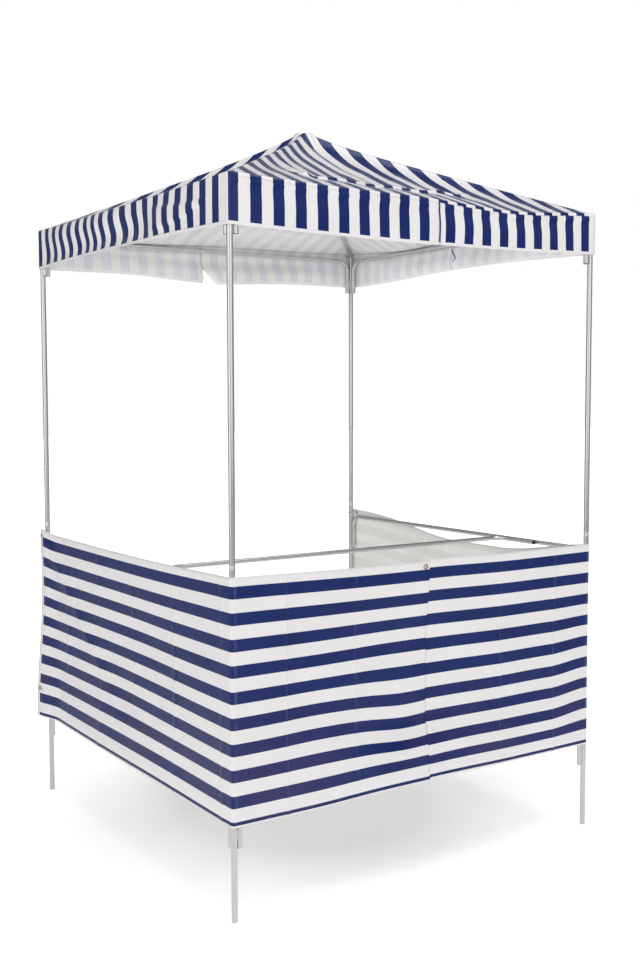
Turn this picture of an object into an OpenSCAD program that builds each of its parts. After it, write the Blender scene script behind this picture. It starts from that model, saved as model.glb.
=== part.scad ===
// Market stall: plug-together frame of bent steel tube, striped canopy with a valance,
// and a striped skirt on three sides. Millimetres, +Z up, the customers' side faces -Y,
// and the origin is on the floor in the middle of the four legs.

/* [Plan] */
// Distance between the post axes, side to side
stall_w = 1460; // [1200:10:2000]
// Distance between the post axes, front to back
stall_d = 1460; // [1200:10:2000]

/* [Heights] */
// Axis of the lower rails
lower_rail_z = 362; // [340:2:500]
// Axis of the counter rails
counter_rail_z = 1010; // [880:2:1100]
// Height over the counter rails' axis at which the upper post sits on the leg
joint_over = 60; // [30:5:390]
// Axis of the eave rails
eave_rail_z = 2165; // [1900:5:2400]
// Height of the hip line over the eave rails at the corners
hip_lift = 25; // [12:1:40]
// Rise of the rafters from the corners to the peak
roof_rise = 300; // [150:5:500]

/* [Posts] */
// Outside diameter of legs and posts
post_d = 19; // [18:0.5:25]
// Wall of legs and posts
post_wall = 1; // [0.8:0.1:1.5]
// How far a leg's reduced end reaches up into its post
leg_spigot_len = 60; // [40:5:100]
// Length of the taper below the leg's reduced end
swage_len = 12; // [8:1:20]
// Height of the post's open top over the eave sleeves
post_top_over = 12; // [5:1:40]

/* [Rails] */
// Outside diameter of rails and rafters
rail_d = 16; // [14:0.5:18]
// Wall of rails and rafters
rail_wall = 1; // [0.8:0.1:1.5]
// Bend radius of the rail ends, on the axis
rail_bend_r = 45; // [35:1:55]
// Straight stretch of rail between its bend and its sleeve
rail_neck = 10; // [4:1:30]
// How far a rail end reaches down into its sleeve
rail_plug_len = 66; // [40:2:80]
// Length of the reduced end that joins two half rails
rail_spigot_len = 45; // [30:1:80]

/* [Sleeves] */
// Length of the sleeves welded beside the posts
sleeve_len = 84; // [82:1:100]
// Wall of the sleeves
sleeve_wall = 1; // [0.8:0.1:1.5]
// Length of the weld beads
bead_len = 30; // [10:1:60]

/* [Counter cross rail] */
// Distance of the cross rail behind the front post axes
cross_rail_back = 440; // [300:5:700]
// Length of the legs that run forward along the side rails
cross_leg_len = 190; // [120:5:260]
// Bend radius of the cross rail's corners, on the axis
cross_bend_r = 40; // [30:1:60]

/* [Roof frame] */
// Bend radius of the rafters over the posts, on the axis
rafter_bend_r = 60; // [45:1:70]
// How far a rafter reaches down into its post
rafter_plug_len = 60; // [40:5:90]
// Outside diameter of the upright tube at the peak
hub_d = 42; // [38:1:60]
// Wall of the upright tube at the peak
hub_wall = 2; // [1.5:0.1:3]
// Height of the hub's rim over the rafter axes
hub_rise = 27; // [22:1:40]
// Depth of the hub below the rafter axes
hub_drop = 30; // [20:1:60]
// Length of the hub's pegs inside the rafters
hub_peg_len = 60; // [30:1:100]

/* [Canopy] */
// Thickness of the canopy
canopy_t = 2; // [1:0.2:4]
// Height of the valance below the eave rails' axis
valance_drop = 115; // [60:5:200]
// Sag of each slope between the hips
slope_sag = 30; // [0:2:50]
// Distance of each valance slit from the middle of its side, to the right
slit_x = 34; // [-200:2:200]
// Width of the slits
slit_w = 3; // [2:0.5:8]

/* [Skirt] */
// Thickness of the skirt
skirt_t = 2; // [1:0.2:4]
// Height of the skirt's top edge over the counter rails' axis
skirt_over = 20; // [10:1:50]
// Height of the skirt's bottom edge over the floor
skirt_bottom_z = 300; // [100:5:330]
// Sag of the front skirt's top edge
front_sag = 6; // [0:1:60]
// Sag of the left skirt's top edge
left_sag = 12; // [0:1:60]
// Sag of the right skirt's top edge
right_sag = 52; // [0:1:60]

/* [Clearances] */
// Radial clearance of a tube end in another tube
slip_fit = 0.2; // [0.1:0.05:0.3]
// Gap between a sleeve and the post it is welded to
weld_gap = 0.4; // [0.2:0.05:0.8]
// Gap between cloth and what it lies on
cloth_gap = 0.3; // [0.1:0.05:0.6]
// Gap between tubes that meet end to end or lie side by side
tube_gap = 0.3; // [0.1:0.05:0.6]

/* [Hidden] */
$fn = 64;
corners = [["front_left", -1, -1], ["front_right", 1, -1], ["back_left", -1, 1], ["back_right", 1, 1]];
// Half rails: name, corner signs, true where the rail runs along X, true for the half with the spigot
front_halves = [["front_left", -1, -1, true, true], ["front_right", 1, -1, true, false]];
back_halves = [["back_left", -1, 1, true, true], ["back_right", 1, 1, true, false]];
side_halves = [
    ["left_front", -1, -1, false, true], ["left_back", -1, 1, false, false],
    ["right_front", 1, -1, false, true], ["right_back", 1, 1, false, false]
];
eave_halves = concat(front_halves, back_halves, side_halves);
three_side_halves = concat(front_halves, side_halves);
// Canopy sides: name and turn about Z from the front
canopy_sides = [["front", 0], ["right", 90], ["back", 180], ["left", -90]];

tiny = 0.01;
post_id = post_d - 2 * post_wall;
rail_id = rail_d - 2 * rail_wall;
sleeve_id = rail_d + 2 * slip_fit;
sleeve_d = sleeve_id + 2 * sleeve_wall;
// Distance from a post's axis to the axis of a sleeve beside it
sleeve_off = post_d / 2 + weld_gap + sleeve_d / 2;
// Distance from a rail's axis down to the top of its sleeve
rail_rise = rail_bend_r + rail_neck;
eave_sleeve_z = eave_rail_z - rail_rise - sleeve_len;
counter_sleeve_z = counter_rail_z - rail_rise - sleeve_len;
lower_sleeve_z = lower_rail_z - rail_rise - sleeve_len;
joint_z = counter_rail_z + joint_over;
post_top_z = eave_rail_z - rail_rise + post_top_over;
leg_spigot_d = post_id - 2 * slip_fit;
rail_spigot_d = rail_id - 2 * slip_fit;

hip_corner_z = eave_rail_z + hip_lift;
hip_peak_z = hip_corner_z + roof_rise;
hip_run = sqrt(stall_w * stall_w + stall_d * stall_d) / 2;
hip_angle = atan(roof_rise / hip_run);
rafter_turn = 90 - hip_angle;
rafter_tangent = rafter_bend_r * tan(rafter_turn / 2);
rafter_arc_z = hip_corner_z - rafter_tangent;
hub_top_z = hip_peak_z + hub_rise;
bend_lap = 1;
bend_swell = 0.05;
// Rafters stop short of the hub's wall, measured along the slope from the peak
rafter_stop = (hub_d / 2 + rail_d / 2 * tan(hip_angle) + tube_gap) / cos(hip_angle);

// Inner face of valance and skirt, out from the post axes
cloth_off = post_d / 2 + cloth_gap;
// Canopy underside over the rafter axes
canopy_lift = (rail_d / 2 + cloth_gap) / cos(atan(roof_rise / (min(stall_w, stall_d) / 2)));
canopy_tv = canopy_t / cos(atan(roof_rise / (min(stall_w, stall_d) / 2)));
hem_z = eave_rail_z - valance_drop;
skirt_top_z = counter_rail_z + skirt_over;

steel = [0.74, 0.75, 0.76];
black = [0.06, 0.06, 0.06];
navy = [0.13, 0.19, 0.40];

// Tube pieces

module pipe(d, bore, h) {
    difference() {
        cylinder(d = d, h = h);
        translate([0, 0, -1]) cylinder(d = bore, h = h + 2);
    }
}

module elbow(r, turn, d) {
    rotate([90, 0, 0]) rotate_extrude(angle = turn) translate([r, 0]) circle(d = d);
}

// A sleeve beside a post, its bottom at z = 0, in the direction of +X
module sleeve() {
    bead_side = 0.45 * post_d / 2;
    bead_d = 0.19 * post_d;
    translate([sleeve_off, 0, 0]) pipe(sleeve_d, sleeve_id, sleeve_len);
    for (side = [-1, 1])
        translate([post_d / 2 + weld_gap / 2, side * bead_side, (sleeve_len - bead_len) / 2])
            cylinder(d = bead_d, h = bead_len);
}

// Directions from a corner post along the front or back, and along the side
function along_x(sx) = sx > 0 ? 180 : 0;
function along_y(sy) = sy > 0 ? -90 : 90;

module at_corner(sx, sy) {
    translate([sx * stall_w / 2, sy * stall_d / 2, 0]) children();
}

module leg(sx, sy) {
    taper_z = joint_z - swage_len;
    directions = sy < 0 ? [along_x(sx), along_y(sy)] : [along_y(sy)];
    color(steel) at_corner(sx, sy) {
        difference() {
            union() {
                cylinder(d = post_d, h = taper_z);
                translate([0, 0, taper_z]) cylinder(d1 = post_d, d2 = leg_spigot_d, h = swage_len);
                translate([0, 0, joint_z]) cylinder(d = leg_spigot_d, h = leg_spigot_len);
            }
            translate([0, 0, -1]) cylinder(d = post_id, h = taper_z + 1);
            translate([0, 0, taper_z])
                cylinder(d1 = post_id, d2 = leg_spigot_d - 2 * post_wall, h = swage_len);
            translate([0, 0, joint_z])
                cylinder(d = leg_spigot_d - 2 * post_wall, h = leg_spigot_len + 1);
        }
        for (z = [counter_sleeve_z, lower_sleeve_z], turn = directions)
            translate([0, 0, z]) rotate(turn) sleeve();
    }
}

module post(sx, sy) {
    color(steel) at_corner(sx, sy) {
        translate([0, 0, joint_z]) pipe(post_d, post_id, post_top_z - joint_z);
        for (turn = [along_x(sx), along_y(sy)])
            translate([0, 0, eave_sleeve_z]) rotate(turn) sleeve();
    }
}

// Rails

// Path of a half rail with its sleeve's axis at x = 0 and its own axis at z = 0
module half_rail_path(d, length, over) {
    plug_z = -rail_rise - rail_plug_len;
    translate([0, 0, plug_z - over]) cylinder(d = d, h = -rail_bend_r - plug_z + over);
    translate([rail_bend_r, 0, -rail_bend_r]) rotate([0, -90, 0]) elbow(rail_bend_r, 90, d);
    translate([rail_bend_r, 0, 0]) rotate([0, 90, 0]) cylinder(d = d, h = length - rail_bend_r + over);
}

module half_rail(length, has_spigot) {
    end_x = length - tube_gap / 2;
    difference() {
        half_rail_path(rail_d, end_x, 0);
        half_rail_path(rail_id, end_x, 1);
    }
    if (has_spigot) {
        // The reduced end starts inside this half and reaches into the other one
        translate([end_x - rail_spigot_len, 0, 0]) rotate([0, 90, 0])
            pipe(rail_id + tiny, rail_spigot_d - 2 * rail_wall, rail_spigot_len);
        translate([end_x - tiny, 0, 0]) rotate([0, 90, 0])
            pipe(rail_spigot_d, rail_spigot_d - 2 * rail_wall, rail_spigot_len);
    }
}

module half_rail_at(h, z) {
    span = h[3] ? stall_w : stall_d;
    turn = h[3] ? along_x(h[1]) : along_y(h[2]);
    color(steel) at_corner(h[1], h[2]) translate([0, 0, z]) rotate(turn)
        translate([sleeve_off, 0, 0]) half_rail(span / 2 - sleeve_off, h[4]);
}

// Counter cross rail: a U that lies between the side rails and points forward

cross_leg_x = stall_w / 2 - rail_d - tube_gap;
cross_y = -stall_d / 2 + cross_rail_back;

module cross_path(d, over) {
    span = 2 * (cross_leg_x - cross_bend_r);
    translate([-span / 2, cross_y, counter_rail_z]) rotate([0, 90, 0]) cylinder(d = d, h = span);
    for (side = [-1, 1]) {
        mirror([side < 0 ? 1 : 0, 0, 0]) {
            translate([cross_leg_x - cross_bend_r, cross_y - cross_bend_r, counter_rail_z])
                rotate_extrude(angle = 90) translate([cross_bend_r, 0]) circle(d = d);
            translate([cross_leg_x, cross_y - cross_bend_r, counter_rail_z]) rotate([90, 0, 0])
                cylinder(d = d, h = cross_leg_len - cross_bend_r + over);
        }
    }
}

module counter_cross_rail() {
    color(steel) difference() {
        cross_path(rail_d, 0);
        cross_path(rail_id, 1);
    }
}

module cross_rail_plugs() {
    head_t = 3;
    stem_len = 15;
    color(black) for (side = [-1, 1])
        translate([side * cross_leg_x, cross_y - cross_leg_len, counter_rail_z]) rotate([90, 0, 0]) {
            translate([0, 0, -stem_len]) cylinder(d = rail_id - 2 * slip_fit, h = stem_len + tiny);
            cylinder(d = rail_d - 0.4, h = head_t - 1);
            translate([0, 0, head_t - 1]) cylinder(d1 = rail_d - 0.4, d2 = rail_d - 4, h = 1);
        }
}

// Roof frame

// Path of a rafter in the plane of its hip, with the peak at x = 0
module rafter_path(d, over) {
    plug_z = post_top_z - rafter_plug_len;
    straight = hip_run / cos(hip_angle) - rafter_tangent - rafter_stop;
    // The straights reach a little way into the bend, which is a hair thicker than they are
    translate([hip_run, 0, plug_z - over]) cylinder(d = d, h = rafter_arc_z - plug_z + bend_lap + over);
    translate([hip_run - rafter_bend_r, 0, rafter_arc_z]) {
        elbow(rafter_bend_r, rafter_turn, d + 2 * bend_swell);
        rotate([90, 0, 0]) rotate(rafter_turn) translate([rafter_bend_r, -bend_lap, 0]) rotate([-90, 0, 0])
            cylinder(d = d, h = straight + bend_lap + over);
    }
}

module along_hip(sx, sy) {
    rotate(atan2(sy * stall_d, sx * stall_w)) children();
}

module rafter(sx, sy) {
    color(steel) along_hip(sx, sy) difference() {
        rafter_path(rail_d, 0);
        rafter_path(rail_id, 1);
    }
}

module roof_hub() {
    peg_d = rail_id - 2 * slip_fit;
    bore_d = hub_d - 2 * hub_wall;
    color(steel) difference() {
        union() {
            translate([0, 0, hip_peak_z - hub_drop]) cylinder(d = hub_d, h = hub_drop + hub_rise);
            for (c = corners)
                along_hip(c[1], c[2]) translate([0, 0, hip_peak_z]) rotate([0, 90 + hip_angle, 0])
                    cylinder(d = peg_d, h = rafter_stop + hub_peg_len);
        }
        translate([0, 0, hip_peak_z - hub_drop - 1]) cylinder(d = bore_d, h = hub_drop + hub_rise + 2);
    }
}

// Canopy: each side is one sheet from its hem over the eave to the peak

hub_rest = (hub_d / 2 + 1) / (min(stall_w, stall_d) / 2);
hub_foot = (hub_d / 2 + 16) / (min(stall_w, stall_d) / 2);
// Rows of the slope from the eave rails up, as shares of the run
slope_rows = [1, 0.92, 0.82, 0.71, 0.6, 0.49, 0.38, 0.28, 0.19, 0.11, hub_foot, hub_rest];
slope_columns = 12;

// Sag of the sheet below the hip line, along the eave from -1 to 1
function sheet_sag(along, run) =
    let (inside = min(run, 1))
    pow(1 - along * along, 2) * (hip_lift * inside * inside + 4 * slope_sag * inside * (1 - inside));

function sheet_z(along, run) =
    run <= hub_rest ? hub_top_z + cloth_gap :
    hip_peak_z - roof_rise * run + canopy_lift - sheet_sag(along, run);

// One row of points across a side: half its length, its distance out and its height rule
function sheet_row(half, out, run, lift) =
    [for (i = [0 : slope_columns])
        let (along = 2 * i / slope_columns - 1)
        [along * (half - cloth_gap / 2), -out, sheet_z(along, run) + lift]];

function flat_row(half, out, z) =
    [for (i = [0 : slope_columns]) [(2 * i / slope_columns - 1) * (half - cloth_gap / 2), -out, z]];

function skin(half, out, edge, lift) = concat(
    flat_row(half + edge, out + edge, hem_z),
    sheet_row(half + edge, out + edge, 1 + edge / out, lift),
    [for (run = slope_rows) each sheet_row(half * run, out * run, run, lift)],
    [[0, -cloth_gap, hub_top_z + cloth_gap + lift]]
);

module canopy(half, out) {
    outer = skin(half, out, cloth_off + canopy_t, canopy_tv);
    inner = skin(half, out, cloth_off, 0);
    n = slope_columns + 1;
    rows = len(slope_rows) + 2;
    apex = rows * n;
    base = apex + 1;
    cells = [for (r = [0 : rows - 2], c = [0 : slope_columns - 1]) r * n + c];
    last = (rows - 1) * n;
    faces = concat(
        [for (a = cells) each [[a, a + n, a + 1], [a + 1, a + n, a + n + 1]]],
        [for (c = [0 : slope_columns - 1]) [last + c, apex, last + c + 1]],
        [for (a = cells) each [[base + a, base + a + 1, base + a + n], [base + a + 1, base + a + n + 1, base + a + n]]],
        [for (c = [0 : slope_columns - 1]) [base + last + c, base + last + c + 1, base + apex]],
        // hem
        [for (c = [0 : slope_columns - 1]) each [[c, c + 1, base + c], [c + 1, base + c + 1, base + c]]],
        // edges along the two hips
        [for (r = [0 : rows - 2]) let (a = r * n) each [[a, base + a, a + n], [a + n, base + a, base + a + n]]],
        [for (r = [0 : rows - 2]) let (a = r * n + slope_columns)
            each [[a, a + n, base + a], [a + n, base + a + n, base + a]]],
        [[last, base + last, apex], [apex, base + last, base + apex]],
        [[last + slope_columns, apex, base + last + slope_columns],
         [apex, base + apex, base + last + slope_columns]]
    );
    difference() {
        polyhedron(points = concat(outer, inner), faces = faces);
        translate([slit_x - slit_w / 2, -out - cloth_off - canopy_t - 1, hem_z - 1])
            cube([slit_w, canopy_t + 2, valance_drop - 2]);
    }
}

module canopy_side(turn) {
    across = abs(turn) == 90;
    color(navy) rotate(turn)
        canopy((across ? stall_d : stall_w) / 2, (across ? stall_w : stall_d) / 2);
}

// Skirt: flat sheets outside the legs, with a top edge that sags between them

module skirt_sheet(left_x, right_x, out, sag) {
    steps = 16;
    span = right_x - left_x;
    top = [for (i = [0 : steps])
        let (share = i / steps)
        [right_x - share * span, skirt_top_z - sag * 4 * share * (1 - share)]];
    color(navy) translate([0, -out, 0]) rotate([90, 0, 0]) linear_extrude(skirt_t)
        polygon(concat([[left_x, skirt_bottom_z], [right_x, skirt_bottom_z]], top));
}

module skirt_front() {
    edge = stall_w / 2 + cloth_off + skirt_t;
    skirt_sheet(-edge, edge, stall_d / 2 + cloth_off, front_sag);
}

module skirt_left() {
    edge = stall_d / 2 + cloth_off;
    rotate(-90) skirt_sheet(-edge - skirt_t, edge - cloth_gap, stall_w / 2 + cloth_off, left_sag);
}

module skirt_right() {
    edge = stall_d / 2 + cloth_off;
    rotate(90) skirt_sheet(-edge + cloth_gap, edge + skirt_t, stall_w / 2 + cloth_off, right_sag);
}

for (c = corners) leg(c[1], c[2]);
for (c = corners) post(c[1], c[2]);
for (h = eave_halves) half_rail_at(h, eave_rail_z);
for (h = three_side_halves) half_rail_at(h, counter_rail_z);
for (h = three_side_halves) half_rail_at(h, lower_rail_z);
counter_cross_rail();
cross_rail_plugs();
for (c = corners) rafter(c[1], c[2]);
roof_hub();
for (s = canopy_sides) canopy_side(s[1]);
skirt_front();
skirt_left();
skirt_right();
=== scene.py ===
"""Looks of a market stall: galvanised tube frame, striped canopy and striped skirt sheets."""
import math

import bpy
import numpy as np
from mathutils import Matrix, Vector


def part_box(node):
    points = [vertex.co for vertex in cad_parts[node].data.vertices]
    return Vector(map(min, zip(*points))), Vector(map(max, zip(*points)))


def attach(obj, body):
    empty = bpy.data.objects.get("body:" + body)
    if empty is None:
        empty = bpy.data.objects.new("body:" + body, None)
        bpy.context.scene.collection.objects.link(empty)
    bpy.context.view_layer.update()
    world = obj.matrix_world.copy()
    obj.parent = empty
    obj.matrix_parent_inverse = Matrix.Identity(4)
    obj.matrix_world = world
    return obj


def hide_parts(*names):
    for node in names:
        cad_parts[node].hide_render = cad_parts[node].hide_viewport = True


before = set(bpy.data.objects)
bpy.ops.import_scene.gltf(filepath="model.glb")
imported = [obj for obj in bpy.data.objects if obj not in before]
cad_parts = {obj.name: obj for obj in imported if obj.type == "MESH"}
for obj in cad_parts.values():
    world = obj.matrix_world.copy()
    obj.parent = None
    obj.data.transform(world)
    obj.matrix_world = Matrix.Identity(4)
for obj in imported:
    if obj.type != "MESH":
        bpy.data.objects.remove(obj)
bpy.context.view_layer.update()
scene = bpy.context.scene
scene.view_settings.view_transform = "Standard"

# Camera of the photograph: image size and focal length in pixels, place in metres, angles in degrees

IMAGE_W = 640
FOCAL_PX = 1194
CAMERA_AT = Vector((-2.441, -3.739, 1.564))
CAMERA_YAW = 33.87
CAMERA_PITCH = 4.06
CAMERA_ROLL = -0.12
SENSOR_MM = 36


def make_camera():
    data = bpy.data.cameras.new("camera")
    data.sensor_fit = "HORIZONTAL"
    data.sensor_width = SENSOR_MM
    data.lens = FOCAL_PX * SENSOR_MM / IMAGE_W
    camera = bpy.data.objects.new("camera", data)
    turn = (
        Matrix.Rotation(-math.radians(CAMERA_YAW), 4, "Z")
        @ Matrix.Rotation(math.radians(90 - CAMERA_PITCH), 4, "X")
        @ Matrix.Rotation(math.radians(CAMERA_ROLL), 4, "Z")
    )
    camera.matrix_world = Matrix.Translation(CAMERA_AT) @ turn
    scene.collection.objects.link(camera)
    scene.camera = camera


# Sizes from the frame, in metres

POST_R = 0.0095
RAIL_R = 0.008
HUB_R = 0.021
HIP_OVER_RAIL = 0.025
HIP_UNDER_HUB = 0.027
CLOTH_T = 0.0007
POST = -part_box("leg_front_left")[0].x - POST_R
EAVE_RAIL_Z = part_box("eave_rail_front_left")[1].z - RAIL_R
COUNTER_RAIL_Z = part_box("counter_rail_front_left")[1].z - RAIL_R
LOWER_RAIL_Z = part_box("lower_rail_front_left")[1].z - RAIL_R
HUB_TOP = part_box("roof_hub")[1].z
HEM_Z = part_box("canopy_front")[0].z
SKIRT_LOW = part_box("skirt_front")[0].z
SKIRT_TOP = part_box("skirt_front")[1].z
cross_low, cross_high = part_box("counter_cross_rail")
CROSS_Z = cross_high.z - RAIL_R
CROSS_LEG_X = cross_high.x - RAIL_R
CROSS_LEG_Y = cross_low.y
HIP_CORNER_Z = EAVE_RAIL_Z + HIP_OVER_RAIL
HIP_PEAK_Z = HUB_TOP - HIP_UNDER_HUB

# Materials


class Nodes:
    """A node tree with short calls for the nodes used here."""

    def __init__(self, tree):
        self.tree = tree
        self.tree.nodes.clear()

    def new(self, kind, **values):
        node = self.tree.nodes.new(kind)
        for key, value in values.items():
            setattr(node, key, value)
        return node

    def join(self, a, b):
        self.tree.links.new(a, b)

    def put(self, socket, value):
        if hasattr(value, "links"):
            self.join(value, socket)
        else:
            socket.default_value = value

    def math(self, operation, a, b=0.0):
        node = self.new("ShaderNodeMath", operation=operation)
        self.put(node.inputs[0], a)
        self.put(node.inputs[1], b)
        return node.outputs[0]

    def mix(self, factor, a, b):
        node = self.new("ShaderNodeMix", data_type="RGBA")
        self.put(node.inputs["Factor"], factor)
        for socket, value in ((node.inputs[6], a), (node.inputs[7], b)):
            self.put(socket, value if hasattr(value, "links") else (*value, 1.0))
        return node.outputs[2]

    def noise(self, vector, scale, detail=3.0):
        node = self.new("ShaderNodeTexNoise")
        self.join(vector, node.inputs["Vector"])
        node.inputs["Scale"].default_value = scale
        node.inputs["Detail"].default_value = detail
        return node.outputs["Fac"]

    def remap(self, value, low, high, to_low=0.0, to_high=1.0):
        node = self.new("ShaderNodeMapRange")
        self.put(node.inputs[0], value)
        for socket, number in zip(node.inputs[1:5], (low, high, to_low, to_high)):
            socket.default_value = number
        return node.outputs[0]

    def background(self, color, strength):
        node = self.new("ShaderNodeBackground")
        node.inputs["Color"].default_value = (*color, 1.0)
        self.put(node.inputs["Strength"], strength)
        return node.outputs[0]

    def mix_shader(self, factor, a, b):
        node = self.new("ShaderNodeMixShader")
        for socket, value in zip(node.inputs, (factor, a, b)):
            self.join(value, socket)
        return node.outputs[0]


class Finish(Nodes):
    """A material with one shader."""

    def __init__(self, name):
        self.material = bpy.data.materials.new(name)
        self.material.use_nodes = True
        super().__init__(self.material.node_tree)
        self.shader = self.new("ShaderNodeBsdfPrincipled")
        out = self.new("ShaderNodeOutputMaterial")
        self.join(self.shader.outputs[0], out.inputs["Surface"])

    def place(self):
        return self.new("ShaderNodeTexCoord").outputs["Object"]

    def bump(self, height, strength, distance):
        node = self.new("ShaderNodeBump")
        node.inputs["Strength"].default_value = strength
        node.inputs["Distance"].default_value = distance
        self.join(height, node.inputs["Height"])
        self.join(node.outputs[0], self.shader.inputs["Normal"])

    def set(self, **values):
        for key, value in values.items():
            self.put(self.shader.inputs[key.replace("_", " ")], value)


def scaled(color, share):
    return tuple(share * c for c in color)


# Parts of a noise's range that are spread out
NOISE_WIDE = (0.3, 0.7)
NOISE_CORE = (0.35, 0.65)

STEEL = (0.77, 0.765, 0.77)
STEEL_DULL = (0.735, 0.73, 0.735)
STEEL_ROUGH = (0.17, 0.25)
SPANGLE_SCALE = 70
STREAK_SCALE = 7
BLACK = (0.012, 0.012, 0.013)
BLACK_WORN = 1.25
BLACK_ROUGH = 0.45
GRAIN_SCALE = 900
GRAIN_BUMP = (0.15, 0.0002)
EYELET_DARK = (0.42, 0.33, 0.22)
EYELET_LIGHT = (0.66, 0.58, 0.45)
EYELET_ROUGH = (0.22, 0.42)
SCRATCH_SCALE = 400


def galvanised():
    n = Finish("galvanised_tube")
    spangle = n.remap(n.noise(n.place(), SPANGLE_SCALE, 2), *NOISE_CORE)
    streaks = n.noise(n.place(), STREAK_SCALE)
    n.set(Metallic=1.0)
    n.set(Base_Color=n.mix(spangle, STEEL_DULL, STEEL))
    n.set(Roughness=n.remap(streaks, *NOISE_WIDE, *STEEL_ROUGH))
    return n.material


def black_plastic():
    n = Finish("black_plastic")
    grain = n.noise(n.place(), GRAIN_SCALE, 2)
    n.set(Roughness=BLACK_ROUGH)
    n.set(Base_Color=n.mix(grain, BLACK, scaled(BLACK, BLACK_WORN)))
    n.bump(grain, *GRAIN_BUMP)
    return n.material


def eyelet_metal():
    n = Finish("eyelet_metal")
    scratches = n.noise(n.place(), SCRATCH_SCALE)
    n.set(Metallic=1.0)
    n.set(Base_Color=n.mix(scratches, EYELET_DARK, EYELET_LIGHT))
    n.set(Roughness=n.remap(scratches, *NOISE_WIDE, *EYELET_ROUGH))
    return n.material


# Stripes. On the canopy they run up from the eave and start anew at the slit; on the skirt they are level.

CANOPY_PITCH = 0.0775
CANOPY_FIRST = 0.7275
STRIPES_BEFORE = 100.5
HALF_BLUE = 0.25
SLIT_U = 0.034
SLIT_STEP = 0.025
LAST_BLUE = 0.7172
VALANCE_H = 0.145
LIP_T = 0.045
LIP_V = VALANCE_H * (1 - LIP_T)
HEM_H = 0.010
SKIRT_PITCH = 0.0763
SKIRT_BLUE = 0.0366
SKIRT_TOP_BAND = 0.027
SKIRT_HEM = 0.7245
SELVAGE = 0.019
NAVY = (0.0035, 0.0160, 0.110)
# Painted sheen: the colour the skirt's blue turns to in patches low down, for a reflection of the floor
PAINTED_SHEEN_BLUE = (0.026, 0.026, 0.122)
WHITE = (0.775, 0.76, 0.768)
INSIDE_WHITE = (0.76, 0.745, 0.735)
# Painted light through the sheet: the stripes on the insides are a pale show-through of the blue print
SHOW_THROUGH_BLUE = (0.60, 0.592, 0.635)
# Painted light: the canopy's inside valance is this much lighter, for light shining through the sheet
LIT_THROUGH = 1.13
SKIRT_INSIDE = (0.80, 0.79, 0.77)
SKIRT_SHOW_THROUGH_BLUE = scaled(SKIRT_INSIDE, 0.97)

# Coated sheet: clouds of dust, painted sheen in patches low on the skirt, painted highlights along the
# creases, tape weave and fine wrinkles
CLOUD_SCALE = 6
CLOUD_BLUE = 1.18
SHEEN_SCALE = 2.6
SHEEN_SPAN = (0.42, 0.60)
SHEEN_DOWN = (0.36, 0.60)
# Painted highlight along the creases: its spots, and how much white and lightness it adds to the blue
GLINT_SCALE = 25
GLINT_SHARE = (0.1, 0.75)
GLINT_WHITE = 0.06
GLINT_LIGHT = 1.6
WEAVE = 0.0028
WEAVE_HEIGHT = 0.12
WRINKLE_SCALE = 30
SHEET_BUMP = (0.09, 0.002)
SMOOTHER = 0.05
ROUGHER = 0.07
SHEET_SPECULAR = 0.34


def canopy_blue(n, u, v):
    """1 on a blue stripe of the canopy and 0 on white."""
    past_slit = n.math("MULTIPLY", n.math("GREATER_THAN", u, SLIT_U), n.math("LESS_THAN", v, LIP_V))
    past_slit = n.math("MULTIPLY", past_slit, SLIT_STEP)
    along = n.math("SUBTRACT", n.math("ADD", u, CANOPY_FIRST + STRIPES_BEFORE * CANOPY_PITCH), past_slit)
    share = n.math("FRACT", n.math("DIVIDE", along, CANOPY_PITCH))
    stripe = n.math("LESS_THAN", n.math("ABSOLUTE", n.math("SUBTRACT", share, 0.5)), HALF_BLUE)
    inside = n.math("MULTIPLY", n.math("GREATER_THAN", v, HEM_H), n.math("LESS_THAN", u, LAST_BLUE))
    return n.math("MULTIPLY", stripe, inside)


def skirt_blue(n, u, v):
    """1 on a blue stripe of the skirt; u is the distance from its back edge and v from its top edge."""
    below = n.math("SUBTRACT", v, SKIRT_TOP_BAND)
    share = n.math("FRACT", n.math("DIVIDE", n.math("ADD", below, SKIRT_PITCH), SKIRT_PITCH))
    stripe = n.math("LESS_THAN", share, SKIRT_BLUE / SKIRT_PITCH)
    inside = n.math("MULTIPLY", n.math("GREATER_THAN", below, 0.0), n.math("LESS_THAN", v, SKIRT_HEM))
    inside = n.math("MULTIPLY", inside, n.math("GREATER_THAN", u, SELVAGE))
    return n.math("MULTIPLY", stripe, inside)


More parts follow.
